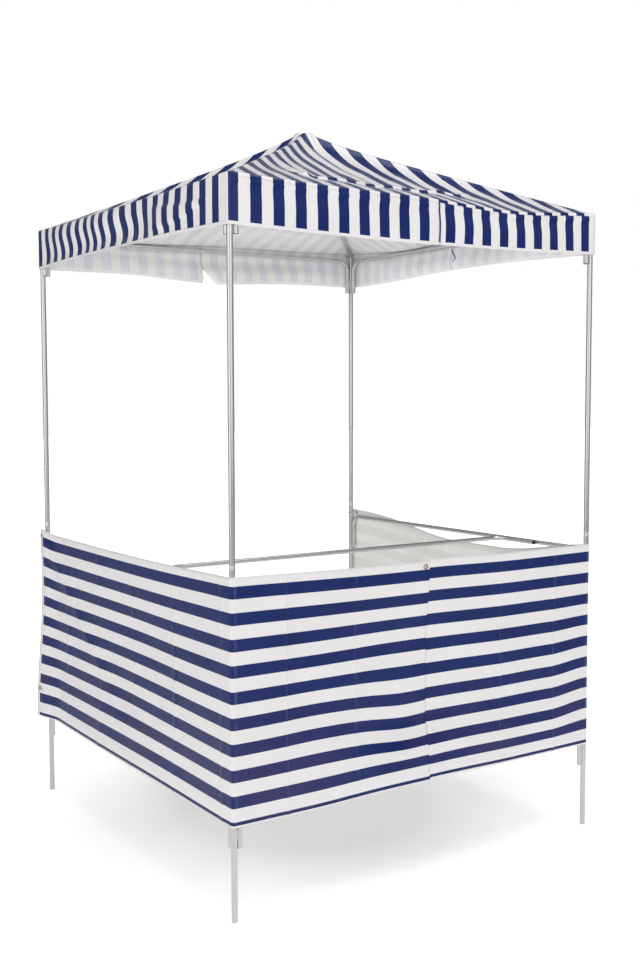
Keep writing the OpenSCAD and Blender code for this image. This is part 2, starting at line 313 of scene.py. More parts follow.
def sheet_material(name, blue_of, white, blue, rough, tone, lit_through_share=1.0, sheen_blue=None):
    """Coated sheet with printed stripes and a fine tape weave; lit_through_share is how much lighter its
    valance is painted, for light shining through the sheet.
    """
    n = Finish(name)
    uv = n.new("ShaderNodeSeparateXYZ")
    n.join(n.new("ShaderNodeUVMap", uv_map="sheet").outputs[0], uv.inputs[0])
    u, v = uv.outputs[0], uv.outputs[1]
    cloud = n.noise(n.place(), CLOUD_SCALE)
    clouded = n.remap(cloud, *NOISE_WIDE)
    pale = n.mix(clouded, scaled(white, tone), white)
    dark = n.mix(clouded, blue, scaled(blue, CLOUD_BLUE))
    # Painted sheen: the blue goes greyish violet in patches low on the skirt, for a reflection of the floor
    if sheen_blue:
        sheen_patches = n.remap(n.noise(n.place(), SHEEN_SCALE, 2), *SHEEN_SPAN)
        dark = n.mix(n.math("MULTIPLY", sheen_patches, n.remap(v, *SHEEN_DOWN)), dark, sheen_blue)
    # Painted highlight: the blue is lightened along the creases and the front corners, for glints on the
    # folds
    crease_glint = n.new("ShaderNodeAttribute", attribute_name="crease_glint").outputs["Fac"]
    glint_spots = n.remap(n.noise(n.place(), GLINT_SCALE, 2), *NOISE_CORE, *GLINT_SHARE)
    painted_glint = tuple(GLINT_WHITE + c for c in scaled(blue, GLINT_LIGHT))
    dark = n.mix(n.math("MULTIPLY", crease_glint, glint_spots), dark, painted_glint)
    striped = n.mix(blue_of(n, u, v), pale, dark)
    # Painted light: the valance is made lighter, for light shining through the sheet
    if lit_through_share != 1.0:
        lighter = n.new("ShaderNodeVectorMath", operation="SCALE")
        n.join(striped, lighter.inputs[0])
        lighter.inputs["Scale"].default_value = lit_through_share
        striped = n.mix(n.math("LESS_THAN", v, VALANCE_H), striped, lighter.outputs[0])
    warp = n.math("SINE", n.math("MULTIPLY", u, 2 * math.pi / WEAVE))
    weft = n.math("SINE", n.math("MULTIPLY", v, 2 * math.pi / WEAVE))
    weave = n.math("MULTIPLY", n.math("MULTIPLY", warp, weft), WEAVE_HEIGHT)
    n.bump(n.math("ADD", weave, n.noise(n.place(), WRINKLE_SCALE, 2)), *SHEET_BUMP)
    n.set(Base_Color=striped)
    n.set(Roughness=n.remap(cloud, *NOISE_WIDE, rough - SMOOTHER, rough + ROUGHER))
    n.set(Specular_IOR_Level=SHEET_SPECULAR)
    return n.material


# Mesh helpers


def add_mesh(name, points, faces, materials, uv=None, smooth=True):
    """A mesh object. uv is a list of one list of pairs per face."""
    mesh = bpy.data.meshes.new(name)
    mesh.from_pydata([tuple(p) for p in points], [], faces)
    if uv is not None:
        layer = mesh.uv_layers.new(name="sheet")
        layer.data.foreach_set("uv", [x for face in uv for pair in face for x in pair])
    mesh.update()
    obj = bpy.data.objects.new(name, mesh)
    scene.collection.objects.link(obj)
    for m in materials:
        mesh.materials.append(m)
    if smooth:
        mesh.polygons.foreach_set("use_smooth", [True] * len(mesh.polygons))
    return obj


def turn_to(obj, at, axis):
    """Puts an object in place with its Z along an axis."""
    obj.matrix_world = Matrix.Translation(at) @ Vector(axis).to_track_quat("Z", "Y").to_matrix().to_4x4()


def thicken(obj, inside_offset):
    """Gives a sheet its thickness inwards, with another finish on its inside."""
    solid = obj.modifiers.new("thickness", "SOLIDIFY")
    solid.thickness = CLOTH_T
    solid.offset = -1
    solid.material_offset = inside_offset
    solid.use_rim = True


def bell(x, width):
    return np.exp(-((x / width) ** 2))


def smooth_step(x, low, high):
    t = np.clip((x - low) / (high - low), 0, 1)
    return t * t * (3 - 2 * t)


# Canopy: one sheet of four sides. u runs along the eave, to the right from outside; o is out from the peak.

SHEET_OVER_TUBE = 0.0112
EAVE_O = POST + SHEET_OVER_TUBE
EAVE_ROLL = 0.005
EAVE_TUCK = 0.0008
ROOF_RISE = HIP_PEAK_Z - HIP_CORNER_Z
SIDES = ("front", "right", "back", "left")
TURNS = {"front": 0, "right": 90, "back": 180, "left": -90}
COLUMNS = 112
SAG = 0.041
SAG_REACH = 0.74
SAG_FROM_HIP = 0.07
SAG_TO_EAVE = (0.46, 0.71)
LEFT_DROOP = 0.004
DROOP = 0.009
DROOP_TO_RAIL = 0.014
RIPPLE = 0.0022
HUB_CLEAR = 0.0012
HUB_DIMPLE = 0.008
HUB_RIM_SPREAD = 0.012
GATHER_R = 0.030
GATHER_SLOPE = 1.2


def hip_z(o):
    """Top of the sheet along a hip, over the rafter's axis."""
    return HIP_PEAK_Z + SHEET_OVER_TUBE - ROOF_RISE * o / POST


def slack(u):
    """Share of the slope's sag between the hips, which grows less towards the corners."""
    return np.clip(1 - np.abs(u / SAG_REACH) ** 1.6, 0, 1)


def eave_droop(side, u):
    """How far the eave hangs below its corners: taut on the left, elsewhere down to the rail on the right."""
    share = np.abs(u / POST)
    if side == "left":
        return LEFT_DROOP * (1 - share ** 4)
    return DROOP * (1 - share ** 4) + DROOP_TO_RAIL * bell(u - 0.33, 0.25) * (1 - share ** 10)


def ridge(u, o, start, end, height, behind, width, turned=1):
    """A fold that stands up along a line on the slope, with a hollow on its upper side."""
    a, b = np.array(start), np.array(end)
    reach = np.linalg.norm(b - a)
    d = (b - a) / reach
    along = ((u - a[0]) * d[0] + (o - a[1]) * d[1]) / reach
    off = (u - a[0]) * d[1] - (o - a[1]) * d[0]
    steep = np.where(off * turned > 0, 1.6, 0.55) * width
    fade = smooth_step(along, -0.12, 0.15) * (1 - smooth_step(along, 0.85, 1.12))
    return fade * (height * bell(off, steep) - behind * bell(off - 2.6 * width, 1.8 * width))


# Folds of each slope: start and end as (u, o), height, depth of the hollow, width, and side of the hollow
FOLDS = {
    "front": [
        ((-0.39, 0.570), (0.30, 0.530), 0.009, 0.004, 0.011),
        ((-0.376, 0.37), (-0.360, 0.585), 0.010, 0.004, 0.011),
        ((-0.047, 0.04), (-0.060, 0.50), 0.006, 0.004, 0.016, -1),
        ((0.12, 0.20), (0.20, 0.62), 0.003, 0.003, 0.03),
    ],
    "right": [
        ((-0.4, 0.62), (0.42, 0.55), 0.006, 0.006, 0.02),
        ((0.03, 0.08), (0.06, 0.5), 0.006, 0.005, 0.03),
    ],
    "back": [
        ((-0.5, 0.60), (0.4, 0.52), 0.006, 0.006, 0.02),
        ((0.0, 0.06), (-0.06, 0.5), 0.006, 0.006, 0.03),
    ],
    "left": [
        ((-0.4, 0.56), (0.5, 0.64), 0.006, 0.006, 0.02),
        ((0.02, 0.06), (0.07, 0.5), 0.008, 0.006, 0.03),
    ],
}


def across_hub(side, u, o, r):
    """Two rises of the sheet over the hub's rim, on the diagonal from the back left to the front right."""
    a = math.radians(TURNS[side])
    x = math.cos(a) * u + math.sin(a) * o
    y = math.sin(a) * u - math.cos(a) * o
    return ((x - y) / 1.4142 / np.maximum(r, 0.001)) ** 4 * bell(r - HUB_R, HUB_RIM_SPREAD)


def slope_z(side, u, o):
    """Top of the sheet on a slope."""
    d = np.maximum(o - np.abs(u), 0)
    droop = eave_droop(side, u)
    depth = droop + (SAG * slack(u) - droop) * (1 - smooth_step(o, *SAG_TO_EAVE))
    z = hip_z(o) - depth * (1 - np.exp(-np.maximum(d - 0.012, 0) / SAG_FROM_HIP))
    inner = smooth_step(d, 0.0, 0.08) * (1 - smooth_step(o, POST - 0.10, POST - 0.02))
    for fold in FOLDS[side]:
        z = z + inner * ridge(u, o, *fold)
    z = z + inner * RIPPLE * np.sin(31 * u + 9 * o) * np.sin(23 * o + 4)
    r = np.hypot(u, o)
    middle = np.clip(1 - np.abs(u) / np.maximum(o, 0.001), 0, 1)
    lift = HUB_TOP + HUB_CLEAR - hip_z(HUB_R)
    z = z + lift * np.exp(-np.maximum(r - HUB_R, 0) / (0.14 - 0.05 * middle))
    over_hub = HUB_TOP + HUB_CLEAR - HUB_DIMPLE * bell(r, HUB_RIM_SPREAD)
    over_hub = over_hub + HUB_DIMPLE * across_hub(side, u, o, r)
    gathered = over_hub - GATHER_SLOPE * np.maximum(r - GATHER_R, 0)
    return np.where(r < HUB_R, over_hub, np.maximum(z, gathered))


# Phase and height of the waves along each valance
WAVES = {"front": (0.3, 0.0040), "right": (1.7, 0.006), "back": (3.1, 0.006), "left": (4.4, 0.005)}
BACK_TUCK = 0.023
BACK_SWELL = 0.004
RIGHT_HOLLOW = 0.013
RIGHT_TUCK = 0.016
FRONT_FLARE = 0.008
LEFT_WAVE = 0.006
LEFT_WEDGE = 0.005


def valance_wave(side, u, t):
    """Out-of-plane wave of a valance, where t is 0 at the eave and 1 at the hem."""
    ends = 1 - np.abs(u / POST) ** 6
    phase, size = WAVES[side]
    long_wave = np.sin(7.5 * u + phase) + 0.5 * np.sin(15 * u + 2.1 * phase)
    wave = size * long_wave * np.sin(math.pi * np.clip(t, 0, 1) * 0.85 + 0.25)
    wave = wave + 0.2 * size * np.sin(37 * u + 3 * phase + 4 * t) * t
    if side == "left":
        wave = wave + LEFT_WAVE * np.sin(6.2 * t + 0.3) * (1 - smooth_step(u, 0.0, 0.30))
        wave = wave + left_wedge(u, t)
    if side == "back":
        wave = wave - BACK_TUCK * smooth_step(t, 0.36, 0.74) * (0.6 + 0.4 * np.sin(4.4 * u + 2.6))
        wave = wave + BACK_SWELL * bell(t - 0.34, 0.16)
    if side == "right":
        wave = wave - RIGHT_HOLLOW * bell(t - 0.70, 0.25) * (0.55 + 0.45 * np.sin(6.0 * u + 0.4))
        wave = wave - RIGHT_TUCK * smooth_step(t, 0.25, 0.9) * bell(u + 0.28, 0.25)
    if side == "front":
        wave = wave + FRONT_FLARE * smooth_step(t, 0.1, 0.6) * (0.6 + 0.4 * smooth_step(u, 0.0, 0.2))
    return ends * np.where(wave < 0, wave * smooth_step(t, 0.16, 0.4), wave)


def left_wedge(u, t):
    """A pinched wedge between two creases that fan out from a point near the front corner."""
    places = (0.26, 0.45, 0.63)
    upper = np.interp(u, places, (0.18, 0.32, 0.36))
    lower = np.interp(u, places, (0.86, 0.72, 0.37))
    middle = (upper + lower) / 2
    half = np.maximum((lower - upper) / 2, 0.001)
    inside = np.clip(3.0 - 3.0 * np.abs(t - middle) / half, 0, 1)
    return LEFT_WEDGE * inside * smooth_step(u, 0.16, 0.34) * (1 - smooth_step(u, 0.55, 0.64))


LIP_STAND = 0.0014
BAND_BACK = 0.0008
BAND_SWELL = 0.0028


def lip_step(t):
    """The roof sheet's edge is turned down over the valance band, which bulges out below it."""
    below = -BAND_BACK + BAND_SWELL * bell(t - 0.12, 0.05)
    return np.where(t < LIP_T, LIP_STAND * smooth_step(t, 0.0, 0.02), below)


# Height of each valance's corners, and how its hem hangs in between
CORNER_HEM = {"front": (0.0, 0.006), "right": (0.006, 0.0), "back": (0.0, 0.0), "left": (0.0, 0.0)}
HEM_OVER_BOX = 0.001


def hem_z(side, u):
    start, end = CORNER_HEM[side]
    level = HEM_Z + HEM_OVER_BOX + start + (end - start) * (u / EAVE_O + 1) / 2
    belly = 1 - np.abs(u / EAVE_O) ** 2
    shape = {
        "front": -0.012 * belly,
        "right": 0.016 * belly * bell(np.maximum(u - SLIT_U, 0), 0.35),
        "back": -0.018 * bell(u + 0.02, 0.28) * belly + 0.005 * bell(u - 0.42, 0.2) * belly,
        "left": 0.010 * belly,
    }
    return level + shape[side]


# Gap of each slit where it starts, at its middle and at the hem, and how far its left lip stands out
SLIT_GAPS = {
    "front": (0.0004, 0.0012, 0.0018, 0.001),
    "right": (0.0003, 0.0006, 0.0006, -0.002),
    "back": (0.0005, 0.003, 0.076, 0.018),
    "left": (0.0, 0.0, 0.0, 0.0),
}
SLIT_START = 0.02
SLIT_PLACES = (SLIT_START, 0.58, 1.0)
SLIT_PLEAT = 0.07
HEM_STAND = 0.0012
HEM_EDGE = (0.93, 0.945)
CORNER_SHARE = 0.02
LEFT_DRAWN = 0.034
DRAWN_FROM = (0.50, 0.70)


def canopy_rows():
    """Rows of the sheet from the hem to the peak: kind and place on it."""
    hem = [1.0, 0.99, 0.965, 0.94, 0.935]
    band = np.linspace(0.88, 0.28, 11)
    lip = [0.24, 0.20, 0.16, 0.13, 0.10, 0.075, 0.06, 0.048, 0.042, 0.02, 0.0]
    eave = np.linspace(EAVE_O - EAVE_ROLL, 0.61, 12)
    folds = np.linspace(0.605, 0.515, 21)
    upper = np.linspace(0.503, 0.10, 28)
    peak = [0.085, 0.07, 0.058, 0.048, 0.04, 0.033, 0.027, 0.0225, 0.018, 0.013, 0.008, 0.004]
    rows = [("valance", t) for t in np.concatenate([hem, band, lip])]
    rows += [("roll", a) for a in (18, 36, 54, 72)]
    rows += [("slope", o) for o in np.concatenate([eave, folds, upper, peak])]
    return rows


def drawn(u):
    """How far the left band is drawn back along its eave, by its place along it."""
    return LEFT_DRAWN * bell(u + 0.08, 0.17)


def canopy_point(side, kind, where, s, lip):
    """A point of the sheet: lip is -1 or 1 on the two lips of a slit and 0 elsewhere."""
    if kind == "slope":
        u, o = s * where, where
        z = float(slope_z(side, u, o))
        if side == "left":
            u -= drawn(u) * smooth_step(o, *DRAWN_FROM)
        return u, o, z
    eave_top = float(slope_z(side, s * POST, POST)) - EAVE_TUCK
    if kind == "roll":
        a = math.radians(where)
        o = EAVE_O - EAVE_ROLL * (1 - math.cos(a))
        u = s * o
        if side == "left":
            u -= drawn(u)
        return u, o, eave_top - EAVE_ROLL * (1 - math.sin(a))
    u = s * EAVE_O
    top = eave_top - EAVE_ROLL
    z = top + (float(hem_z(side, u)) - top) * where
    o = EAVE_O + float(valance_wave(side, u, where))
    if side != "left":
        o += float(lip_step(where))
    o += HEM_STAND * smooth_step(where, *HEM_EDGE)
    if where > SLIT_START and (lip < 0 or (lip == 0 and u < SLIT_U)):
        *gaps, stand = SLIT_GAPS[side]
        pleat = math.exp((u - SLIT_U) / SLIT_PLEAT)
        o += stand * where * pleat
        u -= np.interp(where, SLIT_PLACES, gaps) * pleat
    if side == "left":
        u -= drawn(u)
    corner = 1 - (1 - abs(s)) / CORNER_SHARE
    if corner > 0:
        o = EAVE_O + (o - EAVE_O) * (1 - corner)
        u = math.copysign(min(abs(u), EAVE_O), u)
    return u, o, z


def to_world(side, u, o, z):
    a = math.radians(TURNS[side])
    c, s = math.cos(a), math.sin(a)
    return c * u + s * o, s * u - c * o, z


def column_shares():
    """Places across a side from -1 to 1, closer towards the hips, with one of them on the slit."""
    even = np.linspace(-1, 1, COLUMNS + 1)
    shares = 0.75 * even + 0.25 * np.sin(even * math.pi / 2)
    slit = int(np.argmin(np.abs(shares - SLIT_U / EAVE_O)))
    shares[slit] = SLIT_U / EAVE_O
    return shares, slit


# Place of the slope on the flat sheet: where it starts, how much longer it is than its plan, and the peak
FLAT_SLOPE = 0.165
FLAT_STRETCH = 1.08
FLAT_PEAK = 0.95
LIP_MARGIN = 0.0002


def make_canopy(materials):
    rows = canopy_rows()
    shares, slit = column_shares()
    points, index = [], {}

    def vertex(side_i, row_i, column, lip):
        """Index of a grid point; the last column of a side is the first of the next one."""
        kind, where = rows[row_i]
        if kind != "valance" or where <= SLIT_START or column != slit:
            lip = 0
        key = (side_i, row_i, column, lip)
        if column == COLUMNS:
            key = ((side_i + 1) % len(SIDES), row_i, 0, 0)
        if key not in index:
            side = SIDES[key[0]]
            index[key] = len(points)
            points.append(to_world(side, *canopy_point(side, kind, where, shares[key[2]], key[3])))
        return index[key]

    def pair(side_i, row_i, column, past_slit):
        """Place on the flat sheet; on the left the stripes go on over the slit and the eave, with no lip."""
        kind, where = rows[row_i]
        if kind == "slope":
            return shares[column] * where, FLAT_SLOPE + (POST - where) * FLAT_STRETCH
        u = shares[column] * EAVE_O
        v = VALANCE_H * (1 - where) if kind == "valance" else VALANCE_H + EAVE_ROLL * math.radians(where)
        if SIDES[side_i] != "left":
            return u, v
        return u + SLIT_STEP * past_slit, min(v, LIP_V - LIP_MARGIN)

    faces, uv = [], []
    last = len(rows) - 1
    for side_i in range(len(SIDES)):
        for r in range(last):
            for c in range(COLUMNS):
                lips = {c: 1 if c == slit else 0, c + 1: -1 if c + 1 == slit else 0}
                corners = ((r, c), (r, c + 1), (r + 1, c + 1), (r + 1, c))
                faces.append([vertex(side_i, row, column, lips[column]) for row, column in corners])
                uv.append([pair(side_i, row, column, c >= slit) for row, column in corners])
    apex = len(points)
    points.append((0, 0, float(slope_z("front", 0.0, 0.0))))
    for side_i in range(len(SIDES)):
        for c in range(COLUMNS):
            faces.append((vertex(side_i, last, c, 0), vertex(side_i, last, c + 1, 0), apex))
            uv.append((pair(side_i, last, c, False), pair(side_i, last, c + 1, False), (0.0, FLAT_PEAK)))
    obj = add_mesh("canopy", points, faces, materials, uv)
    thicken(obj, 1)
    return obj


# Skirt: two sheets that meet in the middle of the front and go round the front legs to the back legs

SKIRT_OFF = POST + POST_R + 0.0014
SEAM_LAP = 0.014
SEAM_LIFT = 0.0012
PAST_BACK_LEG = 0.016
SKIRT_ROWS = 64
# Width of the painted highlight along each crease
CREASE_GLINT_WIDTH = 0.0009
CREASE_WIDTH = 0.005
CREASE_STAND = (0.0032, 0.0042)
CREASE_STEPS = (-0.009, -0.005, -0.0025, 0.0, 0.0025, 0.005, 0.009)
RIGHT_TOP_LIFT = 0.012
RIGHT_TOP_HOLLOW = 0.062
FRONT_TOP_SAG = 0.004
LEFT_TOP_SAG = 0.005
BOTTOM_SAG = 0.22
LEFT_CORNER_UP = 0.006
LEFT_CORNER_DOWN = 0.010
HEM_FOLD = 0.0010
LOOSE_END = 0.14

# Vertical packing creases of the right and left sheet, as lengths from the front seam
CREASES = {
    1: (0.313, 0.564, 0.83, 1.12, 1.40, 1.68, 1.95),
    -1: (0.292, 0.552, 0.80, 1.115, 1.43, 1.70, 1.995, 2.185),
}


def with_creases(places, creases, start):
    """Adds closer columns at the creases, given as lengths along the sheet."""
    near = [at - start + step for at in creases for step in CREASE_STEPS]
    inside = [x for x in near if places[0] < x < places[-1]]
    return sorted(set(np.round(np.concatenate([places, inside]), 5)))


def skirt_path(sign):
    """Points along a sheet from the front seam to its back edge: place, outward normal and length."""
    r = SKIRT_OFF - POST
    first = 0.0 if sign > 0 else -SEAM_LAP
    path = []
    for x in with_creases(np.linspace(first, POST, 64), CREASES[sign], 0):
        path.append((sign * x, -SKIRT_OFF, 0, -1))
    for a in np.radians(range(15, 90, 15)):
        across, along = math.sin(a), math.cos(a)
        path.append((sign * (POST + r * across), -POST - r * along, sign * across, -along))
    turned = [at for at in CREASES[sign] if at > POST + 0.03]
    for y in with_creases(np.linspace(-POST, POST + PAST_BACK_LEG, 110), turned, 2 * POST):
        path.append((sign * SKIRT_OFF, y, sign, 0))
    path = np.array(path)
    steps = np.linalg.norm(np.diff(path[:, :2], axis=0), axis=1)
    return path, first + np.concatenate([[0], np.cumsum(steps)])


def skirt_sag(sign, x, y):
    """Sag of the top edge between its tied corners."""
    if y < -POST:
        return FRONT_TOP_SAG * (1 - (x / POST) ** 2)
    share = (POST - y) / (2 * POST)
    if sign < 0:
        return LEFT_TOP_SAG * 4 * share * (1 - share)
    hollow = smooth_step(share, 0.12, 0.50) * (1 - smooth_step(share, 0.68, 1.05))
    return RIGHT_TOP_HOLLOW * hollow - RIGHT_TOP_LIFT * (1 - smooth_step(share, 0.0, 0.2))


def between_rails(t):
    """1 between the two rail heights and 0 at them, for shapes that go inwards."""
    return smooth_step(t, 0.05, 0.40) * (1 - smooth_step(t, 0.66, 0.885))


def skirt_bulge(sign, length, x, y, t):
    """Out-of-plane shape of a sheet, where t is 0 at its top edge and 1 at its bottom edge."""
    on_front = y < -POST
    held = between_rails(t)
    at_hem = smooth_step(t, 0.86, 1.0)
    if on_front:
        free = 1 - (abs(x) / POST) ** 4
        bulge = -0.026 * bell(x + 0.10, 0.24) * held
        bulge += 0.010 * bell(x + 0.42, 0.16) * smooth_step(t, 0.3, 0.8)
        bulge -= 0.008 * bell(x - 0.45, 0.2) * held
        bulge += 0.006 * bell(x + 0.05, 0.30) * at_hem
    else:
        share = (y + POST) / (2 * POST)
        free = np.sin(math.pi * np.clip(share, 0, 1))
        bulge = -0.014 * free * held * (0.6 + 0.4 * math.sin(4.2 * share + sign))
        bulge += 0.008 * free * at_hem
    waves = math.sin(9.0 * length + 5.1 * t) * math.sin(6.5 * t + 2.0 * length)
    bulge += 0.0026 * free * smooth_step(length, 0.0, 0.10) * waves * held
    if sign < 0 and not on_front:
        across = (length - 2.19) * 0.75 + (t - 0.03) * 0.62
        upper = smooth_step(t, 0.0, 0.10) * (1 - smooth_step(t, 0.55, 0.85))
        bulge += 0.007 * math.exp(-abs(across) / 0.05) * upper
    for i, at in enumerate(CREASES[sign]):
        sharp = math.exp(-abs(length - at) / CREASE_WIDTH)
        bulge += CREASE_STAND[i % 2] * sharp * (0.35 + 0.65 * math.sin(3.1 * t + i) ** 2)
    return bulge


def skirt_shift(sign, length, x, y, t):
    """How far the stripes are drawn down or up in the sheet's own plane."""
    if y > -POST:
        return 0.0
    if sign > 0:
        loose = smooth_step(t, 0.15, 0.65) * (1 - smooth_step(t, 0.80, 1.0))
        down = (0.016 + 0.006 * bell(x, 0.12)) * (1 - smooth_step(x, 0.55, POST))
        return 0.006 * (1 - smooth_step(length, 0.0, 0.40)) - loose * down
    loose = smooth_step(t, 0.33, 0.64) * (1 - smooth_step(t, 0.72, 0.95))
    return loose * (0.004 * bell(x + 0.46, 0.12) - 0.024 * bell(x + 0.07, 0.17))


def skirt_end(sign, back, t):
    """How the left sheet's loose back edge stands out, reaches past the leg and is drawn up."""
    if sign > 0:
        return 0.0, 0.0, 0.0
    low = smooth_step(t, 0.30, 1.0)
    flare = (0.010 + 0.022 * low) * back
    past = (0.006 * t + 0.012 * low) * back
    up = 0.012 * back * (1 - t)
    return flare, past, up


def make_skirt(sign, materials):
    path, lengths = skirt_path(sign)
    length_all = lengths[-1]
    total = SKIRT_TOP - SKIRT_LOW
    seam_lift = SEAM_LIFT if sign > 0 else 0.0
    points, faces, uv, grid_uv, painted_glint = [], [], [], [], []
    for (x, y, nx, ny), length in zip(path, lengths):
        near_corner = bell(length - POST, 0.35) if sign < 0 else 0.0
        sag = skirt_sag(sign, x, y)
        top = SKIRT_TOP - sag + LEFT_CORNER_UP * near_corner
        bottom = SKIRT_LOW - BOTTOM_SAG * sag - LEFT_CORNER_DOWN * near_corner
        back = smooth_step(length, length_all - LOOSE_END, length_all)
        seam = seam_lift * (1 - smooth_step(length, 0.0, 0.05))
        # Share of painted highlight: along each crease and round the front corner
        glint_share = max(math.exp(-abs(length - at) / CREASE_GLINT_WIDTH) for at in CREASES[sign] + (POST,))
        for t in np.linspace(0, 1, SKIRT_ROWS + 1):
            out = skirt_bulge(sign, length, x, y, t) + seam
            if t > 0.992 or t < 0.03:
                out += HEM_FOLD
            flare, past, up = skirt_end(sign, back, t)
            z = top + (bottom - top) * t + up + skirt_shift(sign, length, x, y, t)
            points.append((x + nx * (out + flare), y + ny * out + past, z))
            grid_uv.append((length_all - length, t * total))
            painted_glint.append(glint_share)
    rows = SKIRT_ROWS + 1
    for c in range(len(path) - 1):
        for r in range(SKIRT_ROWS):
            a = c * rows + r
            quad = (a, a + 1, a + rows + 1, a + rows)
            quad = quad if sign > 0 else quad[::-1]
            faces.append(quad)
            uv.append([grid_uv[i] for i in quad])
    name = "skirt_sheet_right" if sign > 0 else "skirt_sheet_left"
    obj = add_mesh(name, points, faces, materials, uv)
    obj.data.attributes.new("crease_glint", "FLOAT", "POINT").data.foreach_set("value", painted_glint)
    thicken(obj, 1)
    return obj, length_all


# Small pieces

EYELET_R = 0.0070
EYELET_WIRE = 0.0026
RING_WIRE = 0.0011
RING_PLAY = 0.002
RING_STEPS = 36
WIRE_STEPS = 12
DOME_STEPS = 28
DOME_RINGS = 6
BUTTON_R = 0.0034
BUTTON_H = 0.0026
BUTTON_SHANK = 0.0004
BUTTON_SINK = 0.0006
BUTTON_FROM_JOINT = 0.024
BOLT_R = 0.0042
BOLT_FROM_END = 0.03

# Edge of the right slit that is turned in: share of the valance's height and shift along it
FOLD_STEPS = [(0.28, 0.000), (0.40, -0.010), (0.52, -0.024), (0.60, -0.032), (0.66, -0.027), (0.73, -0.016)]
FOLD_WIDTH = 0.0062
FOLD_BACK = 0.0030
FOLD_ON_BLUE = (-0.030, 0.05)


def ring(name, at, axis, radius, tube, material):
    """A torus, such as an eyelet's rim."""
    points, faces = [], []
    for i in range(RING_STEPS):
        a = 2 * math.pi * i / RING_STEPS
        for j in range(WIRE_STEPS):
            b = 2 * math.pi * j / WIRE_STEPS
            r = radius + tube * math.cos(b)
            points.append((r * math.cos(a), r * math.sin(a), tube * math.sin(b)))
            here, there = i * WIRE_STEPS, (i + 1) % RING_STEPS * WIRE_STEPS
            k = (j + 1) % WIRE_STEPS
            faces.append((here + j, there + j, there + k, here + k))
    obj = add_mesh(name, points, faces, [material])
    turn_to(obj, at, axis)
    return obj


def dome(name, at, axis, radius, material):
    """A turned button: a domed head on a short shank."""
    around = [2 * math.pi * i / DOME_STEPS for i in range(DOME_STEPS)]
    profile = [(radius, -BUTTON_SHANK)]
    for a in np.linspace(0, math.pi / 2, DOME_RINGS + 1)[:-1]:
        profile.append((radius * math.cos(a), BUTTON_H * math.sin(a)))
    points = [(r * math.cos(a), r * math.sin(a), z) for r, z in profile for a in around]
    tip, foot = len(points), len(points) + 1
    points += [(0, 0, BUTTON_H), (0, 0, -BUTTON_SHANK)]
    top = DOME_RINGS * DOME_STEPS
    faces = []
    for i in range(DOME_STEPS):
        k = (i + 1) % DOME_STEPS
        for a in range(0, top, DOME_STEPS):
            b = a + DOME_STEPS
            faces.append((a + i, a + k, b + k, b + i))
        faces.append((top + i, top + k, tip))
        faces.append((k, i, foot))
    obj = add_mesh(name, points, faces, [material])
    turn_to(obj, at, axis)
    return obj


def rail_joints():
    """Middles of the rails: name, turn about the stall's axis and height of the rail's axis."""
    levels = {"eave": EAVE_RAIL_Z, "counter": COUNTER_RAIL_Z, "lower": LOWER_RAIL_Z}
    for level, z in levels.items():
        for side, turn in TURNS.items():
            if level == "eave" or side != "back":
                yield level + "_" + side, Matrix.Rotation(math.radians(turn), 4, "Z"), z


def make_slit_fold(material):
    """The edge of the right valance's slit, turned in so that its blue outside shows from within."""
    points, faces, uv = [], [], []
    top = float(slope_z("right", SLIT_U, POST)) - EAVE_ROLL
    hem = float(hem_z("right", SLIT_U))
    for t, shift in FOLD_STEPS:
        u = SLIT_U + shift
        z = top + (hem - top) * t
        o = EAVE_O + float(valance_wave("right", u, t)) - FOLD_BACK
        points.append(to_world("right", u, o, z))
        points.append(to_world("right", u + FOLD_WIDTH, o, z))
    for i in range(0, len(points) - 2, 2):
        faces.append((i, i + 1, i + 3, i + 2))
        uv.append([FOLD_ON_BLUE] * 4)
    obj = add_mesh("slit_fold_right", points, faces, [material, material], uv, smooth=False)
    thicken(obj, 0)
    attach(obj, "root")
    return obj


def tie_ring(name, at, material):
    """A wire ring through an eyelet and round the back leg beside it."""
    eye = Vector((at[0], at[1], 0))
    leg = Vector((math.copysign(POST, at[0]), POST, 0))
    radius = ((eye - leg).length + POST_R + RING_WIRE + RING_PLAY) / 2
    middle = eye + (leg - eye).normalized() * radius
    middle.z = at[2]
    return ring("tie_ring_" + name, middle, (0, 0, 1), radius, RING_WIRE, material)


def make_small_pieces(steel, black, rim):
    metal, plastic = [], []
    for name, turn, z in rail_joints():
        at = turn @ Vector((BUTTON_FROM_JOINT, -POST + RAIL_R - BUTTON_SINK, z))
        metal.append(dome("button_" + name, at, turn @ Vector((0, 1, 0)), BUTTON_R, steel))
    for side, sign in (("left", -1), ("right", 1)):
        at = Vector((sign * CROSS_LEG_X, CROSS_LEG_Y + BOLT_FROM_END, CROSS_Z + RAIL_R - BUTTON_SINK))
        plastic.append(dome("cross_bolt_" + side, at, (0, 0, 1), BOLT_R, black))
    eyelets = {
        "front": ((-0.017, -SKIRT_OFF - 0.0016, SKIRT_TOP - 0.021), (0, -1, 0)),
        "back_right": ((SKIRT_OFF + 0.0004, POST - 0.033, SKIRT_TOP - 0.004), (1, 0, 0)),
        "back_left": ((-SKIRT_OFF - 0.0106, POST + 0.009, SKIRT_TOP - 0.012), (-1, 0, 0)),
        "low_left": ((-SKIRT_OFF - 0.0283, POST + 0.011, SKIRT_LOW + 0.112), (-1, 0, 0)),
        "low_right": ((SKIRT_OFF + 0.0012, POST + 0.004, SKIRT_LOW + 0.112), (1, 0, 0)),
    }
    for name, (at, axis) in eyelets.items():
        metal.append(ring("eyelet_" + name, at, axis, EYELET_R, EYELET_WIRE, rim))
        if name != "front":
            metal.append(tie_ring(name, at, steel))
    for slot, pieces in (("galvanised_steel", metal), ("black_plastic", plastic)):
        for obj in pieces:
            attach(obj, "root")


# Stage: floor, world and lamps

